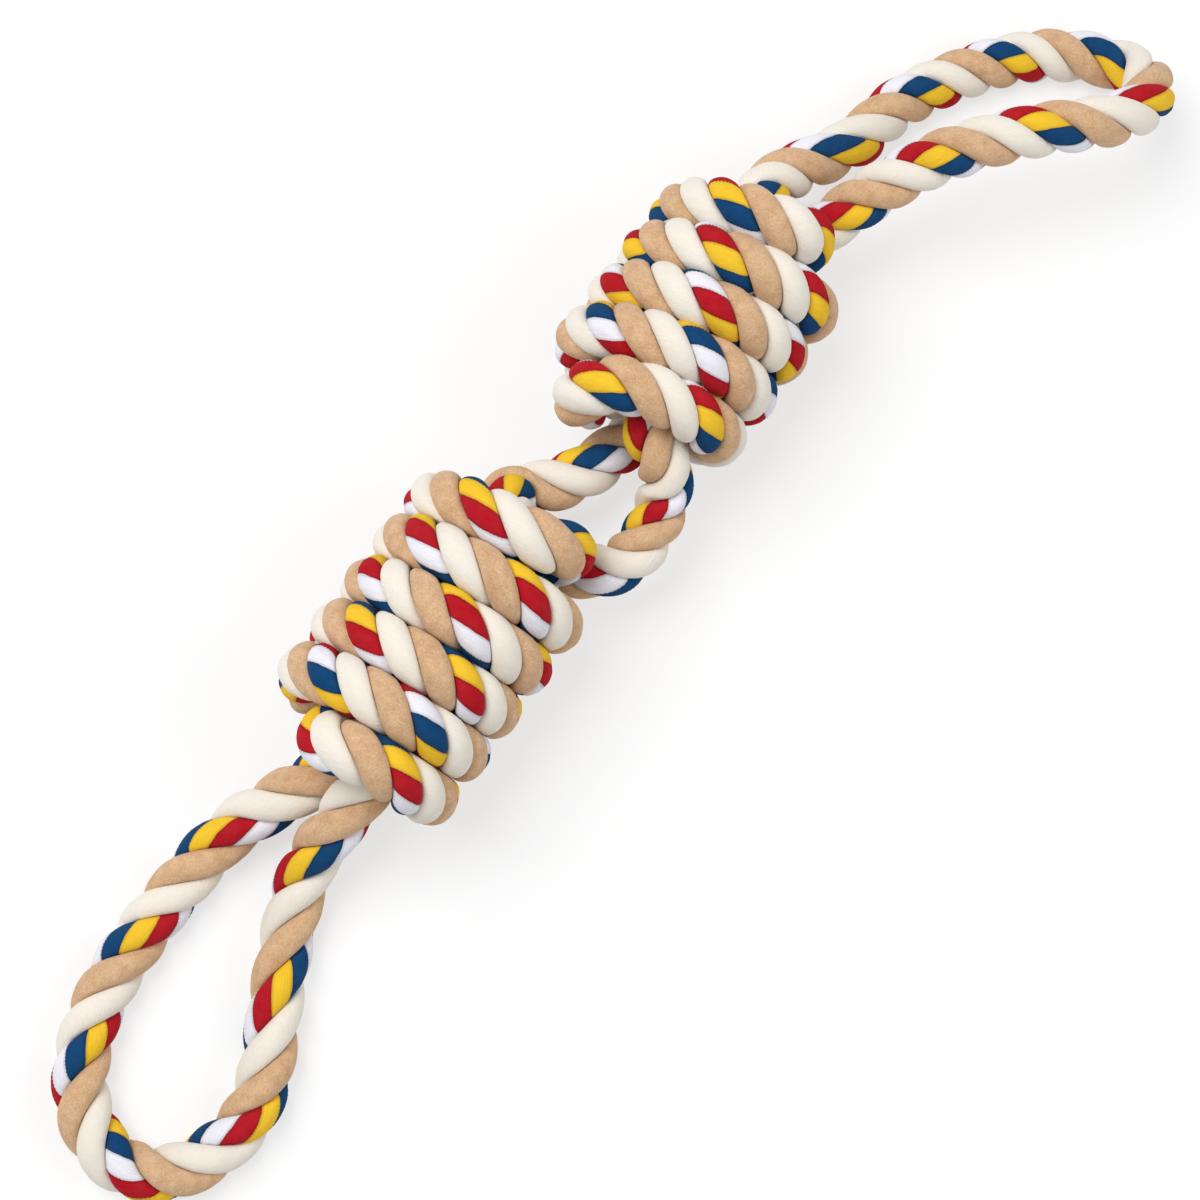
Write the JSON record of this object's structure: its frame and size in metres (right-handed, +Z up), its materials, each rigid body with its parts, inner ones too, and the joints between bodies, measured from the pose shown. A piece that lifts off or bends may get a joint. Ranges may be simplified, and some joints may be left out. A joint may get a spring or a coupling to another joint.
{
  "type": "rope dog toy",
  "caption": "Tug toy of thick twisted cotton rope: a carrying loop at each end, a barrel knot behind each loop, and bare rope legs joining the knots.",
  "frame": {"origin": "middle of the toy's outline, on the surface it rests on", "axes": "+X along the toy from the wide loop to the slim raised loop, +Z up from the surface"},
  "size_m": [0.5059, 0.1113, 0.0674],
  "materials": {
    "cream_cotton": "matte",
    "tan_cotton": "matte",
    "colour_yarns": "matte"
  },
  "bodies": {
    "lower_knot": {"lower_winding": "cream_cotton", "lower_core_in": "tan_cotton", "lower_core_back": "tan_cotton", "lower_core_out": "tan_cotton"},
    "lower_neck": {"lower_neck_out": "cream_cotton", "lower_neck_back": "cream_cotton"},
    "lower_loop": {"lower_loop": "cream_cotton"},
    "legs": {"leg_a": "cream_cotton", "leg_b": "cream_cotton"},
    "upper_knot": {"upper_winding": "cream_cotton", "upper_core_in": "tan_cotton", "upper_core_back": "tan_cotton", "upper_core_out": "tan_cotton"},
    "upper_neck": {"upper_neck_out": "cream_cotton", "upper_neck_back": "cream_cotton"},
    "upper_loop": {"upper_loop": "cream_cotton"}
  },
  "joints": [
    {"name": "lower_loop_lift", "type": "hinge", "parent": "lower_knot", "child": "lower_neck", "pos_m": [-0.127, 0.003, 0.024], "axis": [0.12, 0.9928, 0], "range_deg": [-70, 70], "deforming": ["lower_neck_out", "lower_neck_back"]},
    {"name": "lower_loop_swing", "type": "hinge", "parent": "lower_neck", "child": "lower_loop", "pos_m": [-0.152, 0.001, 0.012], "axis": [0, 0, 1], "range_deg": [-40, 40], "deforming": ["lower_neck_out", "lower_neck_back"]},
    {"name": "legs_swing", "type": "hinge", "parent": "lower_knot", "child": "legs", "pos_m": [-0.005, 0.011, 0.027], "axis": [0, 0, 1], "range_deg": [-40, 40], "deforming": ["leg_a", "leg_b"]},
    {"name": "legs_lift", "type": "hinge", "parent": "legs", "child": "upper_knot", "pos_m": [0.018, 0.011, 0.027], "axis": [0, -1, 0], "range_deg": [-40, 40], "deforming": ["leg_a", "leg_b"]},
    {"name": "upper_loop_lift", "type": "hinge", "parent": "upper_knot", "child": "upper_neck", "pos_m": [0.129, 0.021, 0.026], "axis": [0.1, -0.995, 0], "range_deg": [-70, 70], "deforming": ["upper_neck_out", "upper_neck_back"]},
    {"name": "upper_loop_swing", "type": "hinge", "parent": "upper_neck", "child": "upper_loop", "pos_m": [0.154, 0.0155, 0.026], "axis": [0, 0, 1], "range_deg": [-40, 40], "deforming": ["upper_neck_out", "upper_neck_back"]}
  ]
}
